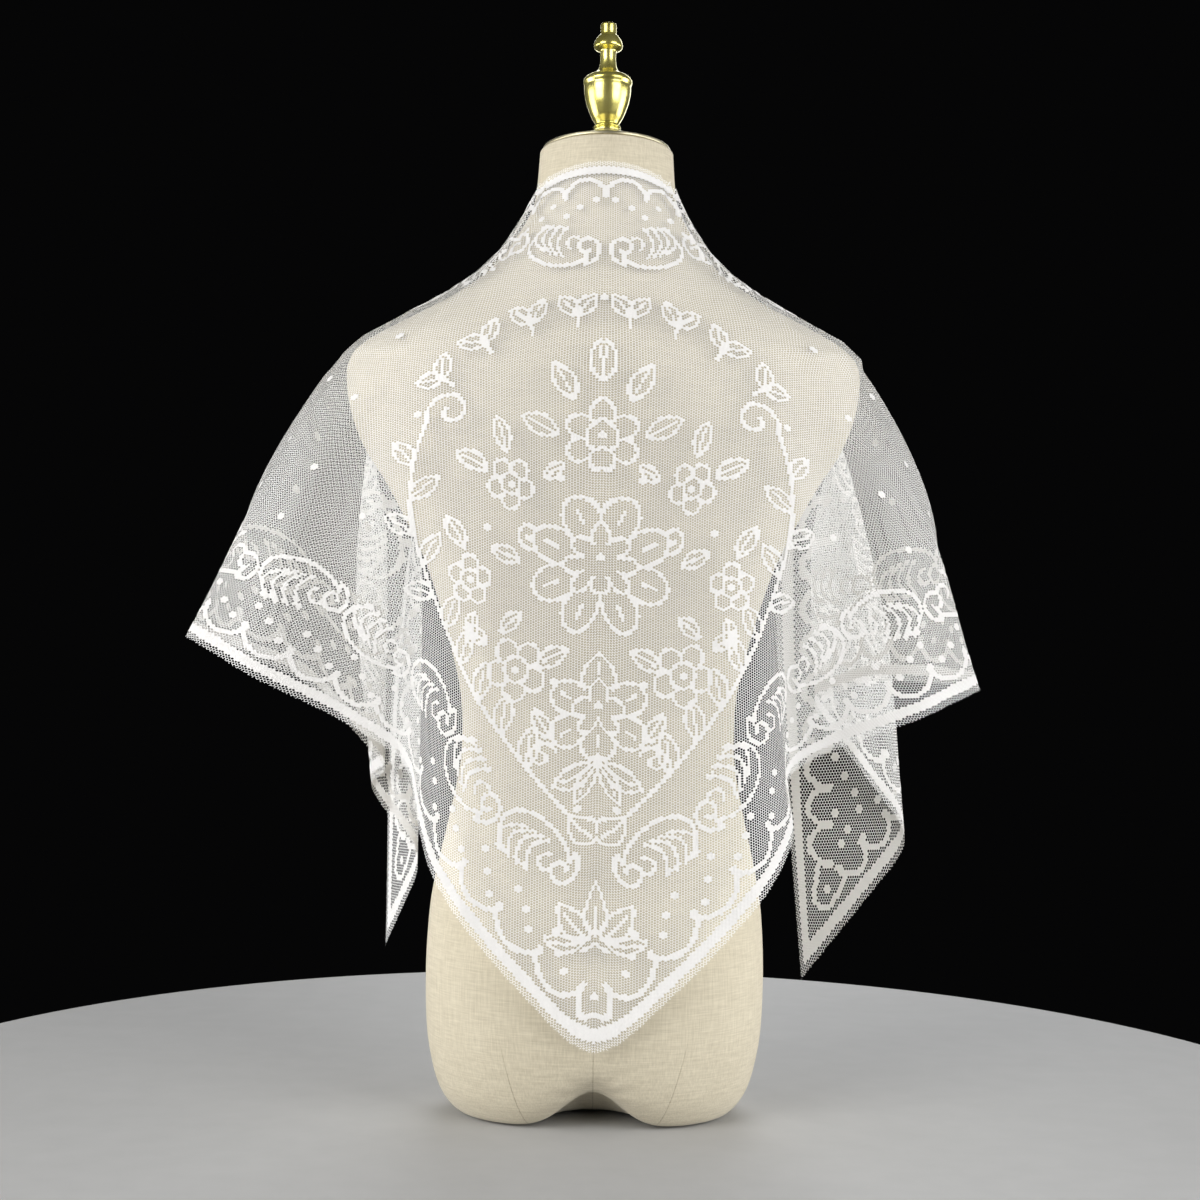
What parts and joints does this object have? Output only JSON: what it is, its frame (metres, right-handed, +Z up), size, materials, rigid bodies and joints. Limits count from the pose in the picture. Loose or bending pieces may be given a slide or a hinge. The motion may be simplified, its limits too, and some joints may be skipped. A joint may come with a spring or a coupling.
{
  "type": "triangle shawl on a dress form",
  "caption": "A lace triangle shawl hangs over a limbless linen dress form, its corner at the back and its tails down the front, with a turned brass finial on the neck.",
  "frame": {"origin": "centre of the whole part's box on the floor; the form's own axis stands at x 0.014, y -0.020", "axes": "+Z up; +Y to the front of the form, so the hanging corner is towards -Y; +X to the right as seen from behind"},
  "size_m": [0.631, 0.2872, 0.8576],
  "materials": {
    "lace": "sheer white jacquard net with woven figures",
    "linen": "plain weave linen, matt",
    "brass": "polished, lightly aged"
  },
  "bodies": {
    "root": {"shawl_back": "lace", "shawl_left_front": "lace", "shawl_right_front": "lace", "dress_form": "linen", "neck_cap": "brass", "finial": "brass"}
  },
  "joints": []
}
